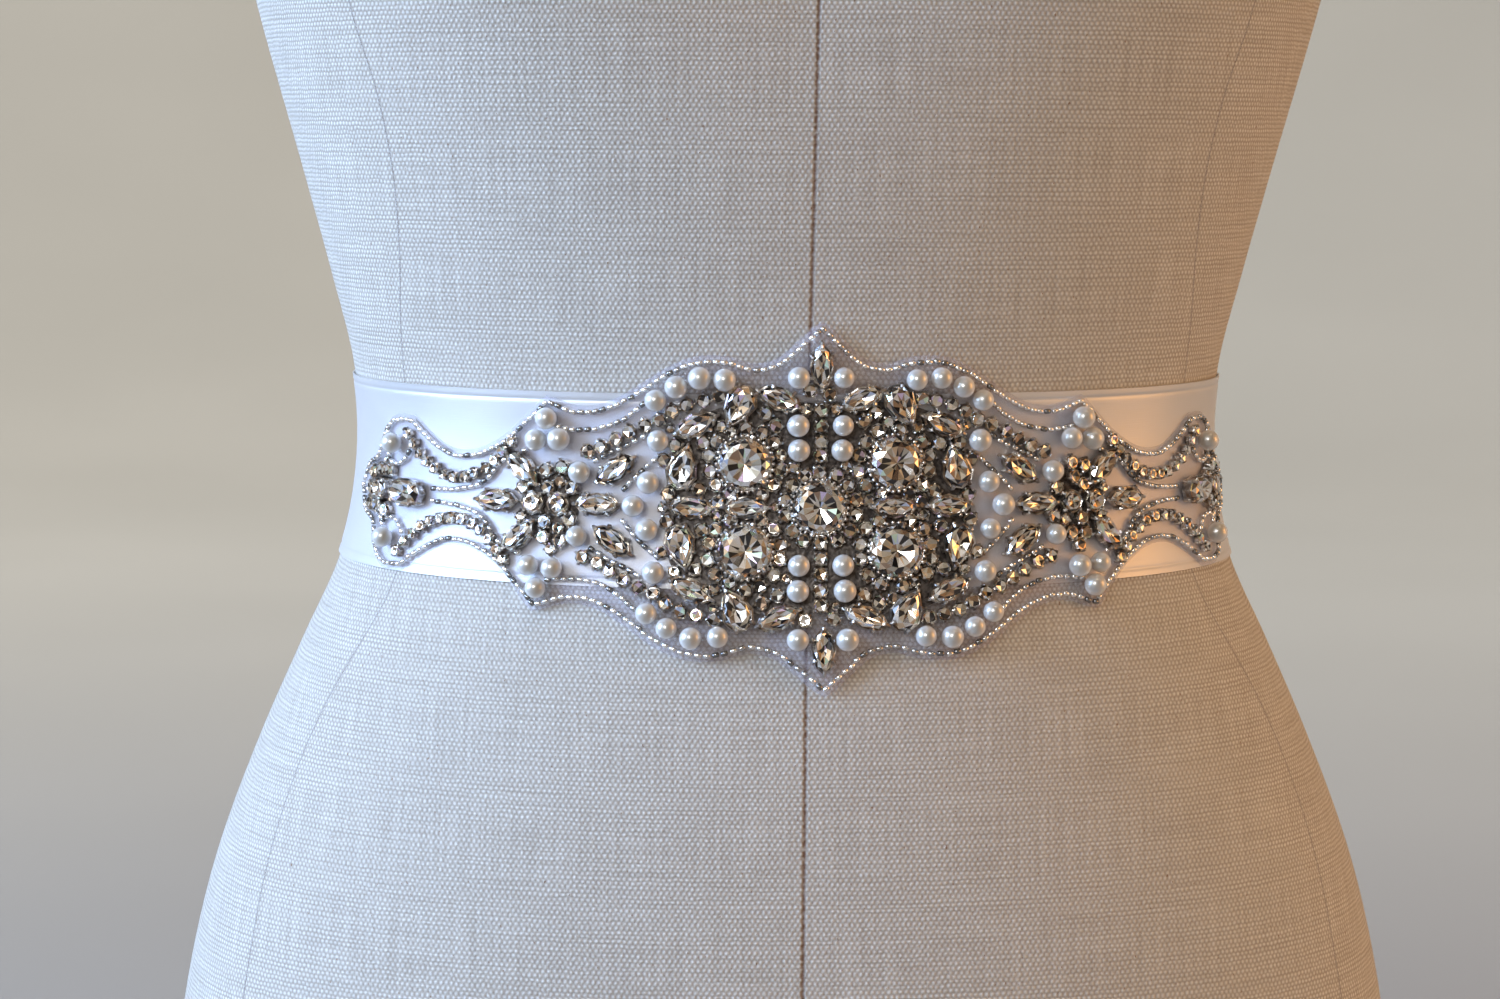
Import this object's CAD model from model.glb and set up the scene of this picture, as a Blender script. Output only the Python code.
"""The looks of a bridal sash: satin ribbon and a beaded net applique, on a linen dress form.

Tables are in millimetres and meshes in metres. +Z is up and the front faces -Y. A place on the sash
is (across, up, out): along the waist from the centre front, towards +X; up from the sash's middle
line; and out from the form's surface.
"""

from math import atan2, ceil, cos, degrees, pi, radians, sin

import bmesh
import bpy
import numpy as np
from mathutils import Matrix, Vector
from mathutils.geometry import delaunay_2d_cdt


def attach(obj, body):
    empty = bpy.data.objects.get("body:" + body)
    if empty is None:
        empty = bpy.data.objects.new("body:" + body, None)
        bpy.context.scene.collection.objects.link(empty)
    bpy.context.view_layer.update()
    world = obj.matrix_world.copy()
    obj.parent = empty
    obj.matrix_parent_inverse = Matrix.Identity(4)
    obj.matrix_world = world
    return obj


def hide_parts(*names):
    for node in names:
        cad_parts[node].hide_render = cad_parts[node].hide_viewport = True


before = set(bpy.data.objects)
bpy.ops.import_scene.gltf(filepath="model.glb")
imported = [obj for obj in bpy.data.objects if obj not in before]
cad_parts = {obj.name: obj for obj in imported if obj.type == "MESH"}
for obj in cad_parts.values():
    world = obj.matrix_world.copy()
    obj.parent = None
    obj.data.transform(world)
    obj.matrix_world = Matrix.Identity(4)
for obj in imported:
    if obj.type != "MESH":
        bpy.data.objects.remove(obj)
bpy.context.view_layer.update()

MM = 0.001
RANDOM = np.random.RandomState(7)

# Heights are from the sash's middle line, which is this far above the form's base
SASH_HEIGHT = 250.0

# The form's level sections: height, half width, depth to the front, depth to the back, squareness
SECTIONS = (
    (-250, 171, 103, 124, 2.35),
    (-198, 174.5, 107, 131, 2.35),
    (-150, 169.7, 108, 126, 2.3),
    (-112, 161, 106, 117, 2.25),
    (-75, 147.2, 102, 105, 2.2),
    (-49, 135.6, 98, 97, 2.2),
    (-26, 125.2, 93.5, 90.5, 2.15),
    (5, 119.6, 90, 85.5, 2.15),
    (27, 120.9, 90.5, 84.5, 2.15),
    (52, 126.7, 93.5, 85.5, 2.2),
    (77, 133.3, 98, 88, 2.2),
    (128, 147, 104, 95, 2.25),
    (175, 157.5, 108, 101, 2.3),
    (224, 164.5, 105, 106, 2.35),
    (270, 171.5, 98, 109, 2.4),
    (304, 177.5, 91, 107.5, 2.4),
    (328, 178.5, 84, 105, 2.4),
    (346, 174.5, 77.5, 101.5, 2.4),
    (361, 163.5, 71, 96, 2.35),
    (375, 143, 63.5, 87, 2.3),
    (387, 118, 58, 78, 2.25),
    (399, 91, 54, 69, 2.2),
    (411, 72, 51.5, 62, 2.1),
    (426, 60.5, 50, 57.5, 2.05),
    (446, 56.5, 49.5, 55.5, 2),
    (468, 55, 49, 55, 2),
)
FORM_SIDES = 240
FORM_LEVELS = 230
BUST_HEIGHT = 165.0
BUST_ANGLE = radians(33)
BUST_SPREAD = radians(20)
BUST_TALL = 38.0
BUST_DEPTH = 13.0

# The side-front seams: height and angle from the centre front, in degrees
PRINCESS_SEAM = (
    (-250, 58), (-136, 60.5), (-64, 62.5), (-30, 58), (0, 58), (27, 59),
    (61, 53), (77, 51), (101, 50), (125, 51), (165, 46), (260, 42),
    (340, 44), (375, 52),
)

# The ribbon
RIBBON_WIDTH = 50.0
RIBBON_OUT = 0.3        # from the form's surface to the ribbon's inner face
RIBBON_THICK = 0.4
SELVEDGE = 2.0          # from the ribbon's edge to the groove beside its selvedge

# The applique
APPLIQUE_ACROSS = 3.5
APPLIQUE_UP = -4.0
NET_OUT = 1.25          # from the form's surface to the net's inner face
NET_THICK = 0.2
NET_MARGIN = 1.6        # the net's edge outside the line of edge beads
SEAT = NET_OUT + NET_THICK

# The line of edge beads, one quarter, in runs that meet at points: across, up
EDGE_RUNS = (
    ((0, 46.5), (5, 41.5), (10, 37.2), (16, 35.6), (24, 37.6), (31, 37.4),
     (38, 34.6), (46, 29.6), (54, 25.4), (62, 24), (71, 26.6)),
    ((71, 26.6), (76, 22), (84, 15.6), (93, 11.6), (101, 11.4), (109, 15),
     (115.5, 19.5)),
    ((115.5, 19.5), (124, 18.8), (129.5, 14), (132, 9), (138, 6), (141.5, 0)),
)

# Kinds of stone: length and width of the setting, height of the girdle, crown, depth, facets round
KINDS = {
    "pearl": (6, 6, 0, 0, 0, 0),
    "round": (14.2, 14.2, 3.5, 1.9, 3.1, 16),
    "small_round": (6.5, 6.5, 2.2, 1, 1.9, 8),
    "navette": (12.4, 6.2, 2.4, 1.2, 2.1, 8),
    "pear": (12, 8, 2.7, 1.4, 2.3, 10),
    "oval": (14, 8, 2.8, 1.5, 2.4, 10),
    "cup": (4, 4, 1.7, 0.65, 1.3, 8),
    "cup_mid": (3.3, 3.3, 1.4, 0.6, 1, 8),
    "cup_small": (2.7, 2.7, 1.1, 0.5, 0.8, 8),
}

# Stones of the upper right quarter and the middle lines: across, up and, if it isn't 0, the turn
STONES = {
    "round": ((0, 0), (19, 11.5)),
    "small_round": ((67.4, 0), (74.6, 0), (128.4, 0)),
    "navette": (
        (18.8, 0), (0, 36.8, 90), (10.4, 28.4, 22), (31.6, 21.4, -24), (33, 0),
        (57, 0), (52.4, 9.4, 146), (85, 0), (77.6, 9, 42),
    ),
    "pear": ((20.6, 26.4, -62), (35, 10.4, 104)),
    "oval": ((116, 0),),
    "pearl": (
        (5.6, 34), (5.7, 21.5), (5.5, 15), (24, 33.4), (30.2, 33.8), (36.2, 31.4),
        (41.6, 27.8), (70.5, 22.4), (73.6, 16.6), (67.2, 17), (61.6, 8.4), (41.2, 17.2),
        (43.6, 6.2), (47.4, 0), (122.4, 13),
    ),
}

# Discs that cover a stone: place along it, as a share of its length, and share of its width
ONE_DISC = ((0, 1),)
DISCS = {
    "navette": ((-0.33, 0.54), (0, 1), (0.33, 0.54)),
    "pear": ((-0.17, 1), (0.14, 0.74), (0.34, 0.36)),
    "oval": ((-0.2, 0.96), (0.2, 0.96)),
}

# Where the claws stand round each kind of stone, in degrees
FOUR_CLAWS = (45, 135, 225, 315)
CLAW_ANGLES = {
    "round": (15, 75, 135, 195, 255, 315),
    "small_round": FOUR_CLAWS,
    "navette": (0, 62, 118, 180, 242, 298),
    "pear": (0, 70, 150, 210, 290),
    "oval": (40, 140, 220, 320),
    "cup": FOUR_CLAWS,
    "cup_mid": FOUR_CLAWS,
    "cup_small": (30, 150, 270),
}

# Tones of the foiled stones' facets, and how common each is
FOIL_TONES = (
    ((0.92, 0.92, 0.91), 0.19), ((0.74, 0.72, 0.65), 0.13), ((0.50, 0.46, 0.37), 0.11),
    ((0.72, 0.53, 0.34), 0.12), ((0.38, 0.25, 0.16), 0.15), ((0.03, 0.025, 0.025), 0.24),
    ((0.62, 0.74, 1), 0.02), ((0.80, 0.66, 0.92), 0.02), ((0.72, 0.94, 0.74), 0.02),
)

# Rows of cup stones in the upper right quarter: kind, and the points that the row runs through
CHAINS = (
    ("cup", ((0, 9.4), (0, 29.4))),
    ("cup_mid", ((117.4, 15.8), (109, 8.6), (99, 5.4), (89.6, 8), (81.6, 15.6))),
    ("cup", ((60, 13.8), (53, 16.6), (47, 20.2), (41.2, 22.5), (35.6, 26), (29.6, 27.8))),
)
CHAIN_GAP = 0.15
RING_RADIUS = 9.3       # of the cup stones round each large round stone
RING_COUNT = 14
FILL_PITCH = 4.05       # of the cup stones that fill the middle
FILL_HALF_LENGTH = 40.0
FILL_HALF_HEIGHT = 29.0
CUP_CLEARANCE = -0.1
LARGE = 5.0             # a setting longer than this has wide walls and claws

# Where smaller cup stones are packed into the gaps, as corners of the upper right quarter
PACKED = (
    ((0, 34), (9, 33), (20, 31.5), (33, 28), (39, 20), (40.5, 9), (40.5, -0.1),
     (-0.1, -0.1), (-0.1, 34)),
    ((61.5, 3.4), (64, 8.6), (68.6, 12), (72.4, 9.6), (77.4, 4.4), (79, -0.1), (61.5, -0.1)),
    ((124, 6), (132, 6.5), (135, -0.1), (124, -0.1)),
)
PACKED_SIZES = (("cup", -0.35), ("cup_mid", -0.3), ("cup_small", -0.05))

# Where settings touch and hide the net: the upper edges, from left to right
BACKED = (
    ((0, 27), (9, 27.5), (22, 27), (33, 23), (38, 14), (39.5, 3)),
    ((62.5, 2.6), (65, 7.6), (68.6, 9.8), (71.6, 7.6), (76.6, 3)),
    ((125.5, 4), (131, 4.5)),
)

# Inner lines of small beads in the upper right quarter
BEAD_LINES = (
    ((69.5, 20), (62, 19.4), (54, 20.8), (47, 25), (44.5, 27.2)),
    ((59, 11), (53, 14.2), (47, 17), (44.6, 18.6)),
    ((40, 13.8), (43.6, 11), (47.6, 7.2), (51, 3.6)),
    ((77, 13.8), (84, 10.8), (90, 4.6), (98, 2.2), (108, 1.6)),
    ((118.6, 17.6), (116.6, 12.6), (119.4, 8.6), (124.4, 7.4), (128, 9)),
    ((127.6, 16.4), (126.4, 10.6), (130, 6.2), (134.6, 4)),
)
BEAD_LENGTH = 1.75
BEAD_RADIUS = 0.7
BEAD_PITCH = 2.05

# The knot at the centre back, and the ribbon's two ends below it
KNOT_WIDTH = 30.0
KNOT_HEIGHT = 31.0
KNOT_DEPTH = 9.5
TAIL_LENGTH = 205.0
TAIL_TOP_HALF = 7.0
TAIL_PART = 1.0
TAIL_LEAN = 20.0
TAIL_FOLD = 4.6
TAIL_SLANT = 16.0

# The camera, fitted to the form's outline in the photograph
CAMERA_DISTANCE = 0.99
CAMERA_AZIMUTH = radians(-2.68)
CAMERA_ELEVATION = radians(6.07)
CAMERA_ROLL = radians(-0.2)
CAMERA_TARGET = Vector((-0.0101, 0.0, 0.2384))
CAMERA_LENS = 84.05

# The linen's weave and its centre front seam, in metres
LINEN_ACROSS = 0.00146      # from thread to thread in a row of the weave
LINEN_UP = 0.00240          # over two rows of it, which are half a thread apart
SEAM_HALF = 0.00085         # half the seam's crease
SEAM_LEAN = 0.0026          # how far the seam leans to either side of the form's middle
SEAM_MIDDLE = 0.215         # where it crosses the middle, along the cloth from its lower edge
NET_CELL = 0.0009           # the net's pitch

# The four quarters, as signs of across and up
QUARTERS = ((1, 1), (-1, 1), (1, -1), (-1, -1))


def unit(vectors):
    """Vectors made one long."""
    return vectors / np.linalg.norm(vectors, axis=-1, keepdims=True)


def run_lengths(points):
    """Lengths along a line of points, from its start to each of them."""
    return np.concatenate([[0.0], np.cumsum(np.linalg.norm(np.diff(points, axis=0), axis=1))])


def turns_of(count, start=0.0):
    """Even turns round a circle, the first a part of a step on."""
    return 2 * pi * (np.arange(count) + start) / count


def curve_at(places, values, at):
    """A smooth curve through values at places, read at other places."""
    steps = np.diff(places)
    rises = np.diff(values) / steps
    inner = (rises[1:] * steps[:-1] + rises[:-1] * steps[1:]) / (steps[1:] + steps[:-1])
    tangents = np.concatenate([rises[:1], inner, rises[-1:]])
    index = np.clip(np.searchsorted(places, at) - 1, 0, len(places) - 2)
    step = steps[index]
    part = (at - places[index]) / step
    start = (2 * part**3 - 3 * part**2 + 1) * values[index]
    start = start + (part**3 - 2 * part**2 + part) * step * tangents[index]
    end = (3 * part**2 - 2 * part**3) * values[index + 1]
    return start + end + (part**3 - part**2) * step * tangents[index + 1]


def form_point(angle, height):
    """A point of the form's surface; the angle is from the centre front towards +X."""
    angle, height = np.broadcast_arrays(np.asarray(angle, float), np.asarray(height, float))
    heights, *columns = np.array(SECTIONS).T
    half_width, front, back, square = (curve_at(heights, column, height) for column in columns)
    sine = np.sin(angle)
    cosine = np.cos(angle)
    x = half_width * np.sign(sine) * np.abs(sine) ** (2.0 / square)
    y = np.where(cosine > 0, -front, back) * np.abs(cosine) ** (2.0 / square)
    around = (np.abs(np.arctan2(sine, cosine)) - BUST_ANGLE) / BUST_SPREAD
    along = (height - BUST_HEIGHT) / BUST_TALL
    y = y - BUST_DEPTH * np.exp(-0.5 * (around**2 + along**2))
    return np.stack([x, y, height + SASH_HEIGHT], -1)


def form_normal(angle, height):
    """The outward normal of the form's surface."""
    turn = 0.002
    rise = 0.2
    sideways = form_point(angle + turn, height) - form_point(angle - turn, height)
    upwards = form_point(angle, height + rise) - form_point(angle, height - rise)
    return unit(np.cross(sideways, upwards))


# Lengths round the waist, along the sash's middle line
TURNS = np.radians(np.linspace(-180.0, 180.0, 721))
WAIST_LENGTHS = run_lengths(form_point(TURNS, 0.0) + form_normal(TURNS, 0.0))
WAIST = WAIST_LENGTHS[-1]
WAIST_LENGTHS = WAIST_LENGTHS - WAIST / 2


def angle_at(across):
    """The angle round the form at a length along the waist."""
    wound = (across + WAIST / 2) % WAIST - WAIST / 2
    return np.interp(wound, WAIST_LENGTHS, TURNS)


def on_form(across, up, out):
    """Points of the sash, from their places on it."""
    across, up, out = np.broadcast_arrays(*(np.asarray(v, float) for v in (across, up, out)))
    angle = angle_at(across)
    return form_point(angle, up) + out[..., None] * form_normal(angle, up)


def ease(value):
    """A smooth step from 0 to 1."""
    value = np.clip(value, 0.0, 1.0)
    return value * value * (3.0 - 2.0 * value)


# Meshes


def add_mesh(name, points, faces, materials, smooth=True, uv=None, tone=None, which=None):
    """An object from points in millimetres. uv is one pair a point; tone is one colour a face."""
    mesh = bpy.data.meshes.new(name)
    mesh.from_pydata((np.asarray(points) * MM).tolist(), [], faces)
    for material in materials:
        mesh.materials.append(material)
    if which is not None:
        mesh.polygons.foreach_set("material_index", np.asarray(which, np.int32))
    corners = np.empty(len(mesh.loops), np.int32)
    mesh.loops.foreach_get("vertex_index", corners)
    if uv is not None:
        layer = mesh.uv_layers.new(name="cloth")
        layer.data.foreach_set("uv", np.asarray(uv, np.float32)[corners].ravel())
    if tone is not None:
        colours = np.ones((len(corners), 4), np.float32)
        colours[:, :3] = np.repeat(np.asarray(tone, np.float32), [len(f) for f in faces], axis=0)
        attribute = mesh.attributes.new("tone", "FLOAT_COLOR", "CORNER")
        attribute.data.foreach_set("color", colours.ravel())
    mesh.polygons.foreach_set("use_smooth", np.full(len(mesh.polygons), smooth))
    mesh.update()
    item = bpy.data.objects.new(name, mesh)
    bpy.context.scene.collection.objects.link(item)
    return item


def grid_faces(rows, columns, closed=False, start=0, flip=False):
    """Quads over a grid of points, row by row; a closed one joins its last column to its first."""
    faces = []
    for low in range(start, start + (rows - 1) * columns, columns):
        high = low + columns
        for column in range(columns if closed else columns - 1):
            after = (column + 1) % columns
            face = (low + column, low + after, high + after, high + column)
            faces.append(face[::-1] if flip else face)
    return faces


def rod_faces(rows, sides):
    """Faces of a rod made of rings: its sides and its two ends."""
    last = (rows - 1) * sides
    ends = [tuple(range(sides))[::-1], tuple(range(last, last + sides))]
    return grid_faces(rows, sides, closed=True) + ends


def fan_faces(ring, tip, count, flip=False):
    """Triangles from a ring of points to its tip."""
    faces = [(ring + k, ring + (k + 1) % count, tip) for k in range(count)]
    return [face[::-1] for face in faces] if flip else faces


def wall_faces(line, lift):
    """Quads from a line of points to the same line, a number of points further on."""
    return [(a, b, lift + b, lift + a) for a, b in zip(line, line[1:])]


def circle(count, radius, height):
    """A level ring of points."""
    turns = turns_of(count)
    return np.stack([radius * np.cos(turns), radius * np.sin(turns), np.full(count, height)], -1)


def joined(pieces):
    """Several (points, faces) as one."""
    faces = []
    start = 0
    for piece_points, piece_faces in pieces:
        faces.extend(tuple(start + v for v in face) for face in piece_faces)
        start += len(piece_points)
    return np.concatenate([points for points, _ in pieces]), faces


def copies(template, seats, axes):
    """A template's points and faces at many seats."""
    points, faces = template
    placed = seats[:, None, :] + np.einsum("pk,nkj->npj", points, axes)
    return joined([(copy, faces) for copy in placed])


# Materials


def feed(socket, value):
    """Join an input to another socket, or set it to a number or a colour."""
    if isinstance(value, bpy.types.NodeSocket):
        socket.id_data.links.new(value, socket)
    else:
        socket.default_value = (*value, 1.0) if isinstance(value, tuple) else value


def new_material(name, colour, roughness, metallic=0.0, **inputs):
    """A Principled material and its shader."""
    material = bpy.data.materials.new(name)
    material.use_nodes = True
    shader = material.node_tree.nodes["Principled BSDF"]
    inputs = {"Base_Color": colour, "Roughness": roughness, "Metallic": metallic, **inputs}
    for key, value in inputs.items():
        feed(shader.inputs[key.replace("_", " ")], value)
    return material, shader


def maths(operation, *values):
    """A Math node's output; the first value is a socket, the others are sockets or numbers."""
    node = values[0].id_data.nodes.new("ShaderNodeMath")
    node.operation = operation
    for socket, value in zip(node.inputs, values):
        feed(socket, value)
    return node.outputs[0]


def cloth_axes(shader):
    """Sockets of the cloth's own coordinates, in metres: both, along its grain and across it."""
    nodes = shader.id_data.nodes
    uv = nodes.new("ShaderNodeUVMap")
    uv.uv_map = "cloth"
    split = nodes.new("ShaderNodeSeparateXYZ")
    feed(split.inputs[0], uv.outputs[0])
    return uv.outputs[0], split.outputs[0], split.outputs[1]


def stretched_noise(source, scales, detail=2.0):
    """Noise over coordinates scaled by (x, y, z)."""
    nodes = source.id_data.nodes
    mapping = nodes.new("ShaderNodeMapping")
    mapping.inputs["Scale"].default_value = scales
    feed(mapping.inputs["Vector"], source)
    noise = nodes.new("ShaderNodeTexNoise")
    for key, value in (("Vector", mapping.outputs[0]), ("Scale", 1.0), ("Detail", detail)):
        feed(noise.inputs[key], value)
    return noise.outputs[0]


def ramp(factor, *stops):
    """A colour ramp's output, from (position, colour or grey) stops."""
    node = factor.id_data.nodes.new("ShaderNodeValToRGB")
    elements = node.color_ramp.elements
    while len(elements) < len(stops):
        elements.new(0.5)
    for element, (position, colour) in zip(elements, stops):
        element.position = position
        element.color = (*(colour if isinstance(colour, tuple) else (colour,) * 3), 1.0)
    feed(node.inputs[0], factor)
    return node.outputs[0]


def mix_colours(factor, first, second, blend="MIX"):
    """A Mix node's output; the first colour is a socket, the rest are sockets or values."""
    node = first.id_data.nodes.new("ShaderNodeMix")
    node.data_type = "RGBA"
    node.blend_type = blend
    for index, value in ((0, factor), (6, first), (7, second)):
        feed(node.inputs[index], value)
    return node.outputs[2]


def add_bump(shader, height, distance):
    """Bump on a shader, its distance in metres."""
    bump = shader.id_data.nodes.new("ShaderNodeBump")
    feed(bump.inputs["Distance"], distance)
    feed(bump.inputs["Height"], height)
    feed(shader.inputs["Normal"], bump.outputs[0])


def linen_material():
    """Natural linen canvas: a plain weave of slightly uneven threads with darker flecks."""
    material, shader = new_material("linen_canvas", (0.55, 0.52, 0.47), 0.92,
                                    Specular_IOR_Level=0.15)
    uv, along, across = cloth_axes(shader)
    wander = maths("SUBTRACT", stretched_noise(uv, (260.0, 260.0, 1.0), 1.0), 0.5)
    shift = maths("MULTIPLY", wander, 2.2)
    warp = maths("MULTIPLY_ADD", along, 2 * pi / LINEN_ACROSS, shift)
    weft = maths("MULTIPLY_ADD", across, 2 * pi / LINEN_UP, shift)
    knots = maths("MULTIPLY", maths("COSINE", warp), maths("COSINE", weft))
    rows = maths("COSINE", maths("MULTIPLY", weft, 2.0))
    weave = maths("MULTIPLY_ADD", knots, 0.5, maths("MULTIPLY_ADD", rows, 0.22, 0.28))
    slub = maths("ADD", stretched_noise(uv, (1500.0, 34.0, 1.0)),
                 stretched_noise(uv, (34.0, 1500.0, 1.0)))
    slub = maths("MULTIPLY", slub, 0.5)
    thread = ramp(weave, (0.0, (0.50, 0.45, 0.39)), (0.22, (0.58, 0.54, 0.485)),
                  (0.55, (0.70, 0.675, 0.63)), (0.9, (0.79, 0.77, 0.73)))
    shade = ramp(slub, (0.41, (0.85, 0.835, 0.81)), (0.59, (1.03, 1.03, 1.02)))
    fleck = ramp(stretched_noise(uv, (1100.0, 620.0, 1.0), 3.0), (0.68, 0.0), (0.74, 1.0))
    seam = seam_shade(uv, along, across)
    colour = mix_colours(1.0, thread, shade, "MULTIPLY")
    colour = mix_colours(fleck, colour, (0.30, 0.20, 0.13))
    feed(shader.inputs["Base Color"], mix_colours(seam, colour, (0.17, 0.095, 0.06)))
    add_bump(shader, maths("MULTIPLY_ADD", seam, -2.5, maths("ADD", weave, slub)), 0.00015)
    return material


def seam_shade(uv, along, across):
    """How deep in the centre seam's crease a place is: 0 outside it, up to 1 in its middle."""
    lean = maths("TANH", maths("MULTIPLY", maths("SUBTRACT", across, SEAM_MIDDLE), 5.0))
    wobble = maths("SUBTRACT", stretched_noise(uv, (1.0, 900.0, 1.0)), 0.5)
    off = maths("MULTIPLY_ADD", wobble, 0.0004, along)
    off = maths("ABSOLUTE", maths("MULTIPLY_ADD", lean, -SEAM_LEAN, off))
    node = off.id_data.nodes.new("ShaderNodeMapRange")
    node.interpolation_type = "SMOOTHSTEP"
    for key, value in (("Value", off), ("From Min", SEAM_HALF), ("From Max", 0.0)):
        feed(node.inputs[key], value)
    crossed = ramp(stretched_noise(uv, (1.0, 620.0, 1.0), 1.0), (0.35, 0.55), (0.6, 1.0))
    return maths("MULTIPLY", node.outputs[0], crossed)


def satin_material():
    """White satin: long fine floats with a soft sheen."""
    material, shader = new_material("ribbon_satin", (0.76, 0.76, 0.77), 0.42, 0.42,
                                    Anisotropic=0.5, Specular_IOR_Level=0.12)
    uv = cloth_axes(shader)[0]
    floats = stretched_noise(uv, (90.0, 5200.0, 1.0), 3.0)
    wefts = stretched_noise(uv, (3600.0, 160.0, 1.0))
    colour = ramp(stretched_noise(uv, (34.0, 60.0, 1.0)), (0.3, (0.665, 0.665, 0.67)),
                  (0.7, (0.72, 0.715, 0.715)))
    feed(shader.inputs["Base Color"], colour)
    feed(shader.inputs["Roughness"], ramp(floats, (0.3, 0.36), (0.7, 0.44)))
    add_bump(shader, maths("MULTIPLY_ADD", wefts, 0.6, floats), 0.00003)
    return material


def net_material():
    """Fine lilac-white net with a faint sheen, partly see-through."""
    material, shader = new_material("applique_net", (0.80, 0.78, 0.98), 0.5, Alpha=0.14,
                                    Sheen_Weight=0.3)
    uv, *axes = cloth_axes(shader)
    waves = [maths("SINE", maths("MULTIPLY", axis, 2 * pi / NET_CELL)) for axis in axes]
    cells = maths("MULTIPLY_ADD", maths("MULTIPLY", *waves), 0.5, 0.5)
    colour = ramp(stretched_noise(uv, (120.0, 120.0, 1.0)), (0.3, (0.74, 0.71, 0.94)),
                  (0.7, (0.90, 0.88, 1.0)))
    shade = ramp(cells, (0.0, 0.80), (0.6, 1.0))
    feed(shader.inputs["Base Color"], mix_colours(1.0, colour, shade, "MULTIPLY"))
    add_bump(shader, cells, 0.00008)
    return material


def mottled_material(name, look, scales, stops, bump=None, detail=2.0, cloth=False, **inputs):
    """A material whose colour follows a noise, with bump of it: also its shader, noise, colour."""
    material, shader = new_material(name, *look, **inputs)
    if cloth:
        source = cloth_axes(shader)[0]
    else:
        source = shader.id_data.nodes.new("ShaderNodeTexCoord").outputs["Object"]
    noise = stretched_noise(source, scales, detail)
    colour = ramp(noise, *stops)
    feed(shader.inputs["Base Color"], colour)
    if bump:
        add_bump(shader, noise, bump)
    return material, shader, noise, colour


def tarnish_material():
    """The dark metal between touching settings."""
    stops = (0.35, (0.03, 0.022, 0.018)), (0.65, (0.13, 0.11, 0.095))
    look = (0.16, 0.13, 0.11), 0.5, 0.6
    return mottled_material("tarnished_metal", look, (900.0,) * 3, stops, 0.0003)[0]


def silver_material():
    """Silver-coloured settings, dulled in places."""
    stops = (0.38, (0.24, 0.20, 0.17)), (0.62, (0.78, 0.76, 0.72))
    look = (0.62, 0.60, 0.57), 0.25, 1.0
    material, shader, dull, _ = mottled_material("setting_metal", look, (420.0,) * 3, stops,
                                                 0.00004, 3.0)
    feed(shader.inputs["Roughness"], ramp(dull, (0.35, 0.40), (0.65, 0.24)))
    return material


def pearl_material():
    """Cream-white pearl: a warm grey depth in its middle and a white lustre round it."""
    stops = (0.3, (0.90, 0.895, 0.88)), (0.7, (1.0, 1.0, 1.0))
    look = (0.76, 0.74, 0.69), 0.4, 0.25
    material, shader, _, body = mottled_material(
        "pearl_lustre", look, (260.0,) * 3, stops, 0.00003,
        Specular_IOR_Level=0.8, Coat_Weight=1.0, Coat_Roughness=0.16, Coat_IOR=1.8)
    facing = shader.id_data.nodes.new("ShaderNodeLayerWeight")
    depth = ramp(facing.outputs["Facing"], (0.0, (0.44, 0.41, 0.35)), (0.2, (0.58, 0.56, 0.51)),
                 (0.5, (0.86, 0.86, 0.85)))
    feed(shader.inputs["Base Color"], mix_colours(1.0, body, depth, "MULTIPLY"))
    return material


def thread_material():
    """Linen-coloured seam thread."""
    stops = (0.35, (0.24, 0.20, 0.17)), (0.65, (0.56, 0.53, 0.49))
    look = (0.42, 0.38, 0.33), 0.9
    return mottled_material("seam_thread", look, (2500.0, 900.0, 1.0), stops, 0.00005,
                            cloth=True)[0]


def toned_material(name, *look, **inputs):
    """A bright material under a clear coat, whose colour is kept on each face."""
    material, shader = new_material(name, *look, **inputs)
    node = shader.id_data.nodes.new("ShaderNodeAttribute")
    node.attribute_name = "tone"
    feed(shader.inputs["Base Color"], node.outputs["Color"])
    return material


# The form


def make_form(linen):
    """The linen form, finely rounded, with the grain's own coordinates."""
    levels = np.linspace(SECTIONS[0][0], SECTIONS[-1][0], FORM_LEVELS)
    angles = np.radians(np.linspace(-180.0, 180.0, FORM_SIDES + 1))
    points = form_point(angles[None, :], levels[:, None])
    steps = np.linalg.norm(np.diff(points, axis=1), axis=2)
    along = np.concatenate([np.zeros((FORM_LEVELS, 1)), np.cumsum(steps, axis=1)], axis=1)
    along = along - along[:, FORM_SIDES // 2][:, None]
    rises = np.linalg.norm(np.diff(points, axis=0), axis=2).mean(axis=1)
    up = np.concatenate([[0.0], np.cumsum(rises)])[:, None]
    uv = np.stack(np.broadcast_arrays(along, up), -1).reshape(-1, 2) * MM
    faces = grid_faces(FORM_LEVELS, FORM_SIDES + 1)
    flat = points.reshape(-1, 3)
    for level, flip in ((0, True), (-1, False)):
        cap = np.concatenate([points[level], [[0.0, 0.0, points[level, 0, 2]]]])
        faces += fan_faces(len(flat), len(flat) + FORM_SIDES + 1, FORM_SIDES, flip)
        flat = np.concatenate([flat, cap])
        uv = np.concatenate([uv, (cap[:, :2] + (400.0, 0.0)) * MM])
    form = add_mesh("form_linen", flat, faces, [linen], uv=uv)
    mesh = bmesh.new()
    mesh.from_mesh(form.data)
    bmesh.ops.remove_doubles(mesh, verts=mesh.verts, dist=1e-6)
    mesh.to_mesh(form.data)
    mesh.free()
    form.data.set_sharp_from_angle(angle=radians(50.0))
    return form


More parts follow.
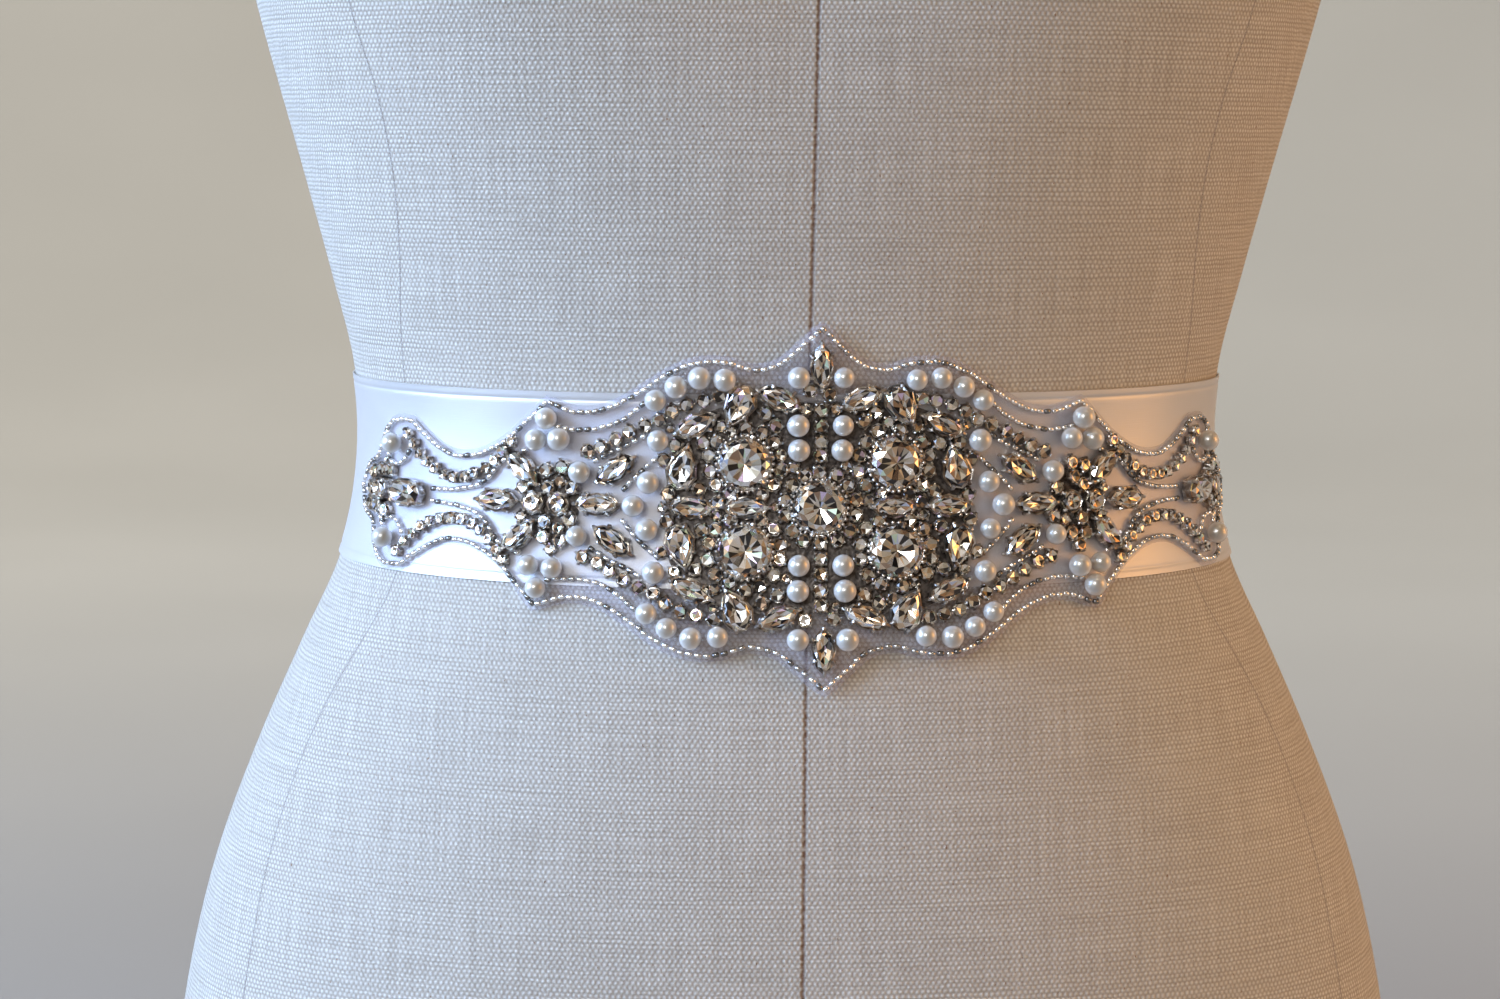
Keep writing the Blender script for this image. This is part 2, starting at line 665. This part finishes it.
def seam_strip(angles, heights, half_width, out):
    """A narrow strip of cloth along a seam: points, faces and coordinates."""
    points = form_point(angles, heights)
    normals = form_normal(angles, heights)
    side = np.cross(unit(np.gradient(points, axis=0)), normals)
    ring = ((-1.0, -0.3), (-0.6, 1.0), (0.6, 1.0), (1.0, -0.3))
    rows = [points + side * half_width * a + normals * out * b for a, b in ring]
    uv = np.stack([np.repeat(run_lengths(points), 4), np.tile(np.arange(4.0), len(points))], -1)
    return np.stack(rows, 1).reshape(-1, 3), rod_faces(len(points), len(ring)), uv * MM


def make_seams(thread):
    """The form's seams, as fine lines of thread: centre back, side-front, side and side-back."""
    whole = np.linspace(SECTIONS[0][0] + 1.0, 455.0, 500)
    below = np.linspace(SECTIONS[0][0] + 1.0, 375.0, 420)
    front = np.radians(curve_at(*np.array(PRINCESS_SEAM).T, below))
    side = np.full(len(below), radians(92.0))
    lines = [(np.full(len(whole), pi), whole, 0.22, 0.10)]
    for sign in (1, -1):
        lines.append((sign * front, below, 0.32, 0.05))
        lines.append((sign * side, below, 0.2, 0.03))
        lines.append((pi - sign * front * 0.62, below, 0.2, 0.03))
    strips = [seam_strip(*line) for line in lines]
    points, faces = joined([strip[:2] for strip in strips])
    coordinates = np.concatenate([strip[2] for strip in strips])
    return add_mesh("form_seams", points, faces, [thread], uv=coordinates)


# The ribbon


def shell(name, inner, outer, uv, material, closed=False):
    """A thin closed wall between two grids of points of the same shape."""
    rows, columns = inner.shape[:2]
    count = rows * columns
    faces = grid_faces(rows, columns, closed, flip=True)
    faces += grid_faces(rows, columns, closed, count)
    number = np.arange(count).reshape(rows, columns)
    rims = [number[0], number[-1, ::-1]]
    if closed:
        rims = [np.append(rim, rim[0]) for rim in rims]
    else:
        rims += [number[::-1, 0], number[:, -1]]
    for rim in rims:
        faces += wall_faces(rim.tolist(), count)
    points = np.concatenate([inner.reshape(-1, 3), outer.reshape(-1, 3)])
    item = add_mesh(name, points, faces, [material], uv=np.tile(uv.reshape(-1, 2), (2, 1)) * MM)
    item.data.set_sharp_from_angle(angle=radians(60.0))
    return item


def selvedge_relief(up):
    """The ribbon's section: a groove just inside each selvedge."""
    inside_edge = RIBBON_WIDTH / 2 - np.abs(up)
    return -0.2 * np.exp(-(((inside_edge - SELVEDGE) / 0.35) ** 2))


def make_band(satin):
    """The ribbon's stretch round the waist."""
    edges = RIBBON_WIDTH / 2 - np.array([0.0, 0.3, 0.8, 1.3, 1.65, 2.0, 2.35, 2.8, 3.6])
    up = np.concatenate([-edges, np.linspace(-20.0, 20.0, 15), edges[::-1]])
    a, u = np.meshgrid(np.linspace(-WAIST / 2, WAIST / 2, 520, endpoint=False), up)
    ripple = 0.08 * np.sin(a / 17.0 + 1.3) * np.cos(u / 15.0) + 0.05 * np.sin(a / 7.3 + u / 9.0)
    lift = RIBBON_OUT + 0.13 + ripple
    inner = on_form(a, u, lift - 0.1)
    outer = on_form(a, u, lift + RIBBON_THICK + selvedge_relief(u))
    return shell("ribbon_band", inner, outer, np.stack([a, u], -1), satin, closed=True)


def make_knot(satin):
    """The knot: the ribbon wrapped once over itself, pulled into soft pleats."""
    turns, wide = 96, 40
    t = turns_of(turns)[None, :]
    s = np.linspace(-1.0, 1.0, wide)[:, None]
    waisted = 1.0 - 0.18 * np.cos(t) ** 2
    pleats = 0.5 * np.sin(s * 9.0 + 1.2 * np.sin(t)) + 0.35 * np.sin(s * 17.0 + 0.6)
    side = np.sqrt(1.0 - 0.96 * s**2)
    round_up = np.sin(t) * (KNOT_HEIGHT / 2 - 0.6 + pleats * 0.45) * side**0.5
    thick = (KNOT_DEPTH - 0.8 + pleats) * side**0.7
    out = RIBBON_OUT + 1.5 + (1.0 - np.cos(t)) / 2.0 * thick + (1.0 - side**0.7) * KNOT_DEPTH * 0.28
    points = on_form(WAIST / 2 + s * KNOT_WIDTH / 2 * waisted, round_up, out)
    uv = np.stack(np.broadcast_arrays(s * 25.0, t * 9.0), -1).reshape(-1, 2) * MM
    return add_mesh("ribbon_knot", points.reshape(-1, 3), rod_faces(wide, turns), [satin], uv=uv)


def make_tail(name, side, satin):
    """One end of the ribbon, gathered at the knot and lying down the form's back."""
    rows = np.linspace(0.0, 1.0, 150)[:, None]
    columns = np.linspace(-1.0, 1.0, 61)[None, :]
    spread = ease(rows * TAIL_LENGTH / 70.0)
    half = TAIL_TOP_HALF + (RIBBON_WIDTH / 2 - TAIL_TOP_HALF) * spread
    across = WAIST / 2 + side * (TAIL_PART + half + TAIL_LEAN * rows + columns * half)
    up = 1.2 - KNOT_HEIGHT / 2 - rows * (TAIL_LENGTH + 1.5 - TAIL_SLANT * columns * rows)
    on_band = RIBBON_OUT + 1.35
    below = ease((-up - RIBBON_WIDTH / 2 - 1.0) / 12.0)
    rest = on_band + (RIBBON_OUT - on_band) * below
    folds = TAIL_FOLD * (1.0 - 0.82 * ease(rows * 2.2)) * (1.0 - ease(rows * 1.3 - 0.3))
    folds = folds * (0.5 + 0.5 * np.cos(2 * pi * columns))
    soft = 0.5 * np.sin(columns * 4.2 + rows * 5.0 + side) * np.sin(rows * 3.0) + 0.5
    lift = rest + folds + 0.9 * soft * ease(rows * 3.0)
    inner = on_form(across, up, lift)
    outer = on_form(across, up, lift + RIBBON_THICK + selvedge_relief(columns * RIBBON_WIDTH / 2))
    uv = np.stack(np.broadcast_arrays(rows * TAIL_LENGTH, columns * RIBBON_WIDTH / 2), -1)
    order = -1 if side < 0 else 1
    inner, outer, uv = (grid[::-1, ::order] for grid in (inner, outer, uv))
    return shell(name, inner, outer, uv, satin)


# The applique's layout


def smooth_run(points, step):
    """Points about a step apart on a smooth curve through a run's points, both ends included."""
    points = np.array(points)
    places = run_lengths(points)
    at = np.linspace(0.0, places[-1], max(2, round(places[-1] / step) + 1))
    return np.stack([curve_at(places, column, at) for column in points.T], -1)


def edge_line(step):
    """The closed line of edge beads, counter-clockwise from the right-hand end."""
    runs = [smooth_run(run, step) for run in EDGE_RUNS]
    quarter = np.concatenate([runs[0]] + [run[1:] for run in runs[1:]])[::-1]
    upper = np.concatenate([quarter, quarter[-2::-1] * (-1, 1)])
    return np.concatenate([upper, upper[-2:0:-1] * (1, -1)])


def grow_outline(outline, margin):
    """A closed counter-clockwise outline moved outwards."""
    ahead = unit(np.roll(outline, -1, axis=0) - outline)
    behind = unit(outline - np.roll(outline, 1, axis=0))
    along = unit(ahead + behind)
    return outline + margin * np.stack([along[:, 1], -along[:, 0]], -1)


def cover(kind, across, up, turn):
    """Discs that cover a stone: middle and radius of each."""
    length, width = KINDS[kind][:2]
    direction = np.array([cos(radians(turn)), sin(radians(turn))])
    return [(np.array([across, up]) + direction * length * along, width / 2 * size)
            for along, size in DISCS.get(kind, ONE_DISC)]


def mirrored(across, up, turn=0.0):
    """A place and its mirror images, top to bottom and left to right, if off the middle lines."""
    places = []
    for flip_up in ((1, -1) if abs(up) > 0.01 else (1,)):
        for flip_across in ((1, -1) if abs(across) > 0.01 else (1,)):
            turned = turn * flip_up if flip_across > 0 else 180.0 - turn * flip_up
            places.append((across * flip_across, up * flip_up, turned))
    return places


def cup_places():
    """Kinds and places of cup stones, in order: rows, rings round the round stones, filling."""
    places = []
    for kind, chain in CHAINS:
        for point in smooth_run(chain, KINDS[kind][0] + CHAIN_GAP):
            places.extend((kind, a, u) for a, u, _ in mirrored(*point))
    for row in STONES["round"]:
        for across, up, _ in mirrored(*row):
            for angle in turns_of(RING_COUNT) + pi / 2:
                places.append(("cup", across + RING_RADIUS * cos(angle),
                               up + RING_RADIUS * sin(angle)))
    rise = FILL_PITCH * 0.866
    rows, columns = int(FILL_HALF_HEIGHT / rise), int(FILL_HALF_LENGTH / FILL_PITCH)
    for row in range(-rows, rows + 1):
        for column in range(-columns, columns + 1):
            places.append(("cup", (column + 0.5 * (row % 2)) * FILL_PITCH, row * rise))
    return places


def lay_out():
    """Every stone: kind, across, up, turn. A cup goes only where it clears the rest."""
    stones = [(kind, *place) for kind, rows in STONES.items() for row in rows
              for place in mirrored(*row)]
    discs = [disc for stone in stones for disc in cover(*stone)]
    for kind, across, up in cup_places():
        radius = KINDS[kind][0] / 2
        here = np.array([across, up])
        if all(np.linalg.norm(here - m) > r + radius + CUP_CLEARANCE for m, r in discs):
            stones.append((kind, across, up, degrees(atan2(up, across))))
            discs.append((here, radius))
    return stones


def pack_gaps(stones):
    """Smaller cup stones in the gaps between the others, wherever one clears them all."""
    discs = [disc for stone in stones for disc in cover(*stone)]
    middles = np.array([middle for middle, _ in discs])
    radii = np.array([radius for _, radius in discs])
    tries = [(a, u) for a in np.arange(0.0, 136.0, 0.7) for u in np.arange(0.0, 35.0, 0.7)]
    tries = np.array(tries)
    packed = []
    for corners in PACKED:
        grid = tries[inside(np.array(corners), tries, 0.0)]
        for kind, clearance in PACKED_SIZES:
            radius = KINDS[kind][0] / 2
            for flip in QUARTERS:
                shifted = grid * flip + RANDOM.uniform(-0.3, 0.3, grid.shape)
                for place in RANDOM.permutation(shifted):
                    gap = np.linalg.norm(middles - place, axis=1) - radii
                    if gap.min() > radius + clearance:
                        packed.append((kind, *place, RANDOM.uniform(0.0, 90.0)))
                        middles = np.vstack([middles, place])
                        radii = np.append(radii, radius)
    return packed


# Stones and their settings, about their own seats


def shape(kind, angles, length, width):
    """Points of a stone's outline at angles round it."""
    cosine, sine = np.cos(angles), np.sin(angles)
    y = width / 2 * sine
    if kind == "navette":
        y = width / 2 * np.sign(sine) * np.abs(sine) ** 1.3
    elif kind == "pear":
        y = y * (1.0 - 0.42 * cosine - 0.2 * cosine**2)
    return np.stack([length / 2 * cosine, y], -1)


def rings_of(kind, length, width, rows):
    """Rings of points round a stone; a row is the start in steps, share of the size and height."""
    count = KINDS[kind][5]
    return [np.column_stack([shape(kind, turns_of(count, start), length * share, width * share),
                             np.full(count, height)]) for start, share, height in rows]


def zigzag(low, high, count):
    """Triangles between two rings, the upper one half a step on."""
    faces = []
    for k in range(count):
        after = (k + 1) % count
        faces += [(low + k, low + after, high + k), (high + k, low + after, high + after)]
    return faces


def chip_template(kind):
    """The top of a small cup stone: crown facets round four that dip to the middle."""
    length, _, girdle, crown, _, count = KINDS[kind]
    size = length - 0.4
    rings = rings_of(kind, size, size, ((0.0, 1.0, girdle - 0.1), (0.0, 1.0, girdle + 0.1),
                                        (0.5, 0.78, girdle + crown)))
    tips = [[0.0, 0.0, girdle + 0.6 * crown], [0.0, 0.0, girdle - 0.1]]
    faces = grid_faces(2, count, closed=True) + zigzag(count, 2 * count, count)
    for k in range(0, count, 2):
        faces.append((*(2 * count + (k + step) % count for step in range(3)), 3 * count))
    faces += fan_faces(0, 3 * count + 1, count, flip=True)
    return np.concatenate([*rings, tips]), faces


def fan_template(kind):
    """The top of a large stone: steep crown facets, and a fan that dips to the middle."""
    length, width, girdle, crown, _, count = KINDS[kind]
    rows = ((0.0, 1.0, girdle - 0.2), (0.0, 1.0, girdle + 0.15), (0.5, 0.84, girdle + 0.75 * crown),
            (0.0, 0.66, girdle + crown), (0.5, 0.27, girdle + 0.62 * crown))
    tips = [[0.0, 0.0, girdle + 0.4 * crown], [0.0, 0.0, girdle - 0.2]]
    faces = grid_faces(2, count, closed=True) + zigzag(count, 2 * count, count)
    for k in range(count):
        low, high, after = 2 * count + k, 3 * count + k, 3 * count + (k + 1) % count
        faces += [(low, after - count, after), (low, after, high)]
    faces += zigzag(3 * count, 4 * count, count)
    table = fan_faces(4 * count, 5 * count, count)
    base = fan_faces(0, 5 * count + 1, count, flip=True)
    faces += [face for pair in zip(table, base) for face in pair]
    return np.concatenate([*rings_of(kind, length - 1.0, width - 1.0, rows), tips]), faces


def rim_beads(kind):
    """A ring of small metal beads round a large round setting."""
    length, _, girdle, _, _, _ = KINDS[kind]
    middles = circle(30, length / 2 + 0.15, girdle - 0.7)
    return copies(sphere_template(0.58, 8, 5), middles, np.broadcast_to(np.eye(3), (30, 3, 3)))


def cup_template(kind):
    """The setting: a metal cup."""
    length, width, girdle, _, depth, count = KINDS[kind]
    inset = 0.85 if length > LARGE else 0.5
    rim = girdle + 0.12
    rows = ((0.0, 0.86, 0.0), (0.0, 1.0, 0.45 * girdle), (0.0, 1.0, rim))
    points = np.concatenate([
        *rings_of(kind, length, width, rows),
        *rings_of(kind, length - inset, width - inset, ((0.0, 1.0, rim - 0.3),)),
        [[0.0, 0.0, girdle - depth]]])
    faces = [tuple(range(count))[::-1], *grid_faces(4, count, closed=True)]
    return points, faces + fan_faces(3 * count, 4 * count, count)


def tube(path, radius):
    """A closed round wire along a path in the stone's own space."""
    sides = 6
    path = np.array(path)
    ahead = unit(np.gradient(path, axis=0))
    first = unit(np.cross(ahead, (0.12, 0.31, 0.94)))
    second = np.cross(ahead, first)
    angles = turns_of(sides)[None, :, None]
    around = first[:, None] * np.cos(angles) + second[:, None] * np.sin(angles)
    return (path[:, None] + radius * around).reshape(-1, 3), rod_faces(len(path), sides)


def claw_template(kind):
    """The claws of one setting."""
    length, width, girdle, crown, _, _ = KINDS[kind]
    rows = ((1.0, 0.2), (1.03, girdle * 0.7), (1.01, girdle + 0.25 * crown),
            (0.93, girdle + 0.62 * crown), (0.84, girdle + 0.78 * crown))
    feet = shape(kind, np.radians(CLAW_ANGLES[kind]), length, width)
    return joined([tube([(*(foot * reach), height) for reach, height in rows],
                        0.5 if length > LARGE else 0.36) for foot in feet])


def sphere_template(radius, around, levels):
    """A round bead standing on its seat."""
    rows = [[[0.0, 0.0, 0.0]]]
    for level in range(1, levels):
        polar = pi * level / levels
        rows.append(circle(around, radius * sin(polar), radius * (1 - cos(polar))))
    points = np.concatenate([*rows, [[0.0, 0.0, 2 * radius]]])
    top = len(points) - 1
    faces = grid_faces(levels - 1, around, closed=True, start=1)
    faces += fan_faces(1, 0, around, flip=True) + fan_faces(top - around, top, around)
    return points, faces


def bead_template():
    """A small cut bead lying along its thread."""
    profile = ((-0.5, 0.55), (-0.42, 0.95), (0.0, 1.0), (0.42, 0.95), (0.5, 0.55))
    rows = [circle(8, BEAD_RADIUS * size, along * BEAD_LENGTH)[:, (2, 0, 1)]
            for along, size in profile]
    return np.concatenate(rows) + (0.0, 0.0, BEAD_RADIUS), rod_faces(len(profile), 8)


def seats_of(places, out, tilt=0.0):
    """Seats of stones at (across, up, turn) places, and each one's axes, tilted at random."""
    across, up, turns = np.array(places, float).T
    across, up = across + APPLIQUE_ACROSS, up + APPLIQUE_UP
    normal = form_normal(angle_at(across), up)
    side = on_form(across + 0.5, up, out) - on_form(across - 0.5, up, out)
    side = unit(side - normal * (side * normal).sum(axis=-1, keepdims=True))
    rise = np.cross(normal, side)
    cosine, sine = (part(np.radians(turns))[:, None] for part in (np.cos, np.sin))
    axes = np.stack([side * cosine + rise * sine, rise * cosine - side * sine, normal], 1)
    if tilt:
        lean = np.radians(RANDOM.uniform(-tilt, tilt, (len(places), 2)))
        for index, (first, second) in enumerate(lean):
            turn = Matrix.Rotation(first, 3, "X") @ Matrix.Rotation(second, 3, "Y")
            axes[index] = np.array(turn) @ axes[index]
    return on_form(across, up, out), axes


def tones_for(count):
    """A random facet tone for each of a number of facets."""
    tones, shares = zip(*FOIL_TONES)
    return np.array(tones)[RANDOM.choice(len(tones), count, p=shares)]


def make_stones(name, stones, tops, tilt, crystal, metals, backings=()):
    """Stones of some kinds, with their settings; tops tells each kind's template."""
    crystals = []
    settings = []
    for kind, top in tops:
        seats, axes = seats_of([stone[1:] for stone in stones if stone[0] == kind], SEAT, tilt)
        crystals.append(copies(top(kind), seats, axes))
        templates = [cup_template(kind), claw_template(kind)]
        if kind == "round":
            templates.append(rim_beads(kind))
        settings += [copies(template, seats, axes) for template in templates]
    points, faces = joined(crystals)
    piece = add_mesh(f"{name}_stones", points, faces, [crystal], smooth=False,
                     tone=tones_for(len(faces)))
    ride(piece, "stone_glass")
    bright = sum(len(faces) for _, faces in settings)
    points, faces = joined([*settings, *backings])
    which = np.arange(len(faces)) >= bright
    piece = add_mesh(f"{name}_settings", points, faces, metals, smooth=False, which=which)
    ride(piece, "setting_metal")


def make_pearls(stones, pearl):
    """The pearls, as one mesh."""
    places = [stone[1:] for stone in stones if stone[0] == "pearl"]
    seats, axes = seats_of(places, SEAT + 0.1)
    axes = axes * RANDOM.uniform(0.9, 1.0, len(places))[:, None, None]
    points, faces = copies(sphere_template(KINDS["pearl"][0] / 2, 24, 14), seats, axes)
    return add_mesh("pearls", points, faces, [pearl])


def beads_along(line):
    """Places of beads along a line: across, up and turn of each."""
    lengths = run_lengths(line)
    count = max(1, int(lengths[-1] / BEAD_PITCH))
    at = (np.arange(count) + 0.5) * lengths[-1] / count
    middle, near, far = (np.stack([np.interp(at + step, lengths, column) for column in line.T])
                         for step in (0.0, -0.3, 0.3))
    turn = np.degrees(np.arctan2(*(far - near)[::-1])) + RANDOM.uniform(-7.0, 7.0, count)
    return np.column_stack([*middle, turn])


def make_beads(seed):
    """The seed beads: the edge line and the inner lines."""
    edge = edge_line(0.6)
    places = [beads_along(np.concatenate([edge, edge[:1]]))]
    for line in BEAD_LINES:
        run = smooth_run(line, 0.6)
        places.extend(beads_along(run * flip) for flip in QUARTERS)
    places = np.concatenate(places)
    places[:, :2] += RANDOM.uniform(-0.12, 0.12, (len(places), 2))
    seats, axes = seats_of(places, SEAT, 6.0)
    template = bead_template()
    points, faces = copies(template, seats, axes)
    shades = RANDOM.choice([0.95, 0.8, 0.5, 0.22], len(seats), p=[0.4, 0.27, 0.18, 0.15])
    tones = np.repeat(shades[:, None] * (1.0, 0.985, 0.96), len(template[1]), axis=0)
    return add_mesh("seed_beads", points, faces, [seed], tone=tones)


# The net and the metal between settings


def inside(outline, points, margin):
    """Which points lie inside a closed outline, at least a margin from its corners."""
    after = np.roll(outline, -1, axis=0)
    x, y = points[:, 0:1], points[:, 1:2]
    crosses = (outline[:, 1] > y) != (after[:, 1] > y)
    rise = np.where(after[:, 1] == outline[:, 1], 1.0, after[:, 1] - outline[:, 1])
    meets = outline[:, 0] + (y - outline[:, 1]) * (after[:, 0] - outline[:, 0]) / rise
    within = (crosses & (x < meets)).sum(axis=1) % 2 == 1
    distance = np.linalg.norm(points[:, None] - outline[None], axis=2).min(axis=1)
    return within & (distance > margin)


def divided(corners, step):
    """A closed outline with points at most a step apart."""
    rows = []
    for here, after in zip(corners, np.roll(corners, -1, axis=0)):
        count = max(1, ceil(np.linalg.norm(after - here) / step))
        rows.extend(here + (after - here) * k / count for k in range(count))
    return np.array(rows)


def cut_sheet(outline, low, high):
    """A thin closed sheet cut to an outline: points, faces and places on the applique."""
    step = 2.2
    low_corner, high_corner = outline.min(axis=0), outline.max(axis=0)
    columns, rows = (np.arange(a, b, step) for a, b in zip(low_corner, high_corner))
    loose = np.array([(a, u) for a in columns for u in rows])
    flat = np.concatenate([outline, loose[inside(outline, loose, step * 0.6)]])
    edge, count = len(outline), len(flat)
    result = delaunay_2d_cdt([Vector(p) for p in flat], [], [list(range(edge))], 1, 1e-5)
    triangles = [tuple(result[3][v][0] for v in t) for t in result[2]]
    across, up = (flat + (APPLIQUE_ACROSS, APPLIQUE_UP)).T
    wave = 0.08 * np.sin(flat[:, 0] / 5.0) * np.sin(flat[:, 1] / 4.0 + 1.0)
    points = np.concatenate([on_form(across, up, height + wave) for height in (low, high)])
    faces = [t[::-1] for t in triangles] + [tuple(count + v for v in t) for t in triangles]
    return points, faces + wall_faces([*range(edge), 0], count), np.tile(flat, (2, 1))


def make_net(net):
    """The net that carries the beads, one thin closed sheet cut to the outline, and its area."""
    outline = grow_outline(edge_line(1.6), NET_MARGIN)
    points, faces, places = cut_sheet(outline, NET_OUT, NET_OUT + NET_THICK)
    area = abs(np.cross(outline, np.roll(outline, -1, axis=0)).sum()) / 2
    return add_mesh("applique_net", points, faces, [net], uv=places * MM), area


def make_backings():
    """The dark metal between touching settings, just above the net."""
    sheets = []
    for corners in BACKED:
        run = np.array(corners)
        if run[0, 0] == 0.0:
            runs = [np.concatenate([run[:0:-1] * (-1, 1), run])]
        else:
            runs = [run, run[::-1] * (-1, 1)]
        for edge in runs:
            outline = divided(np.concatenate([edge * (1, -1), edge[::-1]]), 2.0)
            sheets.append(cut_sheet(outline, SEAT, SEAT + 0.15)[:2])
    return sheets


# Stage, light and camera


def make_stage():
    """A plain pale floor, round, that curves up into a low wall far out on every side."""
    stops = (0.3, (0.35, 0.338, 0.315)), (0.7, (0.385, 0.372, 0.348))
    look = (0.55, 0.53, 0.50), 0.9
    material = mottled_material("studio_sweep", look, (1.5,) * 3, stops)[0]
    angles = np.linspace(0.0, pi / 2, 25)
    rows = [circle(96, 2.3 + 2.0 * sin(a), 2.0 * (1 - cos(a)))[:, (1, 0, 2)]
            for a in angles]
    faces = [*grid_faces(len(rows), 96, closed=True), tuple(range(96))[::-1]]
    sweep = add_mesh("studio_sweep", np.concatenate(rows) / MM, faces, [material])


def add_area_light(name, place, target, size, power, colour, spread=180.0, diffuse=True):
    """A soft rectangular light that the camera doesn't see."""
    data = bpy.data.lights.new(name, "AREA")
    data.energy = power
    data.color = colour
    data.shape = "RECTANGLE"
    data.size, data.size_y = size
    data.spread = radians(spread)
    light = bpy.data.objects.new(name, data)
    light.location = place
    light.rotation_euler = (Vector(target) - Vector(place)).to_track_quat("-Z", "Y").to_euler()
    light.visible_camera = False
    light.visible_diffuse = diffuse
    bpy.context.scene.collection.objects.link(light)


def make_lights():
    """Cool soft window light from the left, a dim warm one from the right, and a plain room."""
    middle = (0.0, 0.0, 0.26)
    wide = (1.6, 1.0)
    add_area_light("window", (-1.78, -0.51, 0.85), middle, (1.1, 1.3), 22.4, (0.43, 0.635, 1.0),
                   100.0)
    add_area_light("warm_fill", (1.75, -0.45, 0.6), middle, (0.8, 1.2), 3.6, (1.0, 0.45, 0.12),
                   100.0)
    add_area_light("catch", (-0.45, -1.55, 0.85), middle, (0.42, 0.42), 15.0, (0.95, 0.97, 1.0),
                   diffuse=False)
    add_area_light("fill", (-1.1, -1.45, 0.9), middle, (1.2, 1.2), 5.0, (0.90, 0.95, 1.0))
    add_area_light("wall", (-0.4, 1.2, 2.4), (0.05, 4.2, 0.7), wide, 98.0, (0.95, 0.96, 0.93))
    add_area_light("room", (0.6, -0.9, 2.4), (1.2, -4.0, 0.8), wide, 47.0, (1.0, 0.76, 0.50))
    for name, side, colour in (("left_wall", -1.0, (0.94, 0.97, 0.93)),
                               ("right_wall", 1.0, (1.0, 0.93, 0.84))):
        add_area_light(name, (side * 1.2, 0.3, 2.4), (side * 4.2, 0.3, 0.9), wide, 50.0, colour)
    world = bpy.data.worlds.new("room")
    bpy.context.scene.world = world
    world.use_nodes = True
    nodes = world.node_tree.nodes
    background = nodes["Background"]
    direction = nodes.new("ShaderNodeTexCoord").outputs["Generated"]
    split = nodes.new("ShaderNodeSeparateXYZ")
    feed(split.inputs[0], direction)
    colour = ramp(maths("MULTIPLY_ADD", split.outputs[0], 0.5, 0.5), (0.0, (0.54, 0.54, 0.56)),
                  (0.4, (0.50, 0.43, 0.35)), (0.75, (0.38, 0.28, 0.18)), (1.0, (0.44, 0.30, 0.18)))
    patches = ramp(stretched_noise(direction, (2.6, 2.6, 2.6), 1.0), (0.42, 0.14), (0.58, 1.7))
    feed(background.inputs["Color"], mix_colours(1.0, colour, patches, "MULTIPLY"))
    feed(background.inputs["Strength"], 0.78)
    bpy.context.scene.view_settings.view_transform = "Standard"


def make_camera():
    """The camera, at the photograph's angle to the sash."""
    back = Vector((sin(CAMERA_AZIMUTH) * cos(CAMERA_ELEVATION),
                   -cos(CAMERA_AZIMUTH) * cos(CAMERA_ELEVATION),
                   sin(CAMERA_ELEVATION)))
    data = bpy.data.cameras.new("camera")
    data.lens = CAMERA_LENS
    data.sensor_width = 36.0
    camera = bpy.data.objects.new("camera", data)
    facing = (-back).to_track_quat("-Z", "Y").to_matrix()
    camera.rotation_euler = (facing @ Matrix.Rotation(-CAMERA_ROLL, 3, "Z")).to_euler()
    camera.location = CAMERA_TARGET + back * CAMERA_DISTANCE
    bpy.context.scene.collection.objects.link(camera)
    bpy.context.scene.camera = camera


def ride(piece, slot, *nodes):
    """Every piece is on the one body; it may stand for CAD nodes."""
    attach(piece, "root")
    if nodes:
        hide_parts(*nodes)


def main():
    """Build every piece, then the stage, the lights and the camera."""
    make_camera()
    satin = satin_material()
    form = make_form(linen_material())
    ride(form, "form_linen", "form_body")
    ride(make_seams(thread_material()), "seam_thread")
    band = make_band(satin)
    ride(band, "ribbon_satin", "sash_band")
    knot = make_knot(satin)
    ride(knot, "ribbon_satin", "sash_knot")
    for name, side in (("left", -1.0), ("right", 1.0)):
        tail = make_tail(f"ribbon_tail_{name}", side, satin)
        ride(tail, "ribbon_satin", f"sash_tail_{name}")
    net, area = make_net(net_material())
    ride(net, "applique_net", "applique")
    stones = lay_out()
    stones.extend(pack_gaps(stones))
    metals = [silver_material(), tarnish_material()]
    crystal = toned_material("crystal", (0.9, 0.9, 0.9), 0.12, 0.75, Coat_Weight=1.0,
                             Coat_Roughness=0.03)
    large = [(kind, fan_template) for kind in ("round", "small_round", "navette", "pear", "oval")]
    make_stones("large", stones, large, 3.5, crystal, metals)
    small = [(kind, chip_template) for kind in ("cup", "cup_mid", "cup_small")]
    make_stones("small", stones, small, 9.0, crystal, metals, make_backings())
    ride(make_pearls(stones, pearl_material()), "pearl_bead")
    seed = toned_material("seed_bead", (0.85, 0.85, 0.84), 0.14, 0.85, Coat_Weight=0.6)
    ride(make_beads(seed), "seed_bead")
    make_stage()
    make_lights()


main()
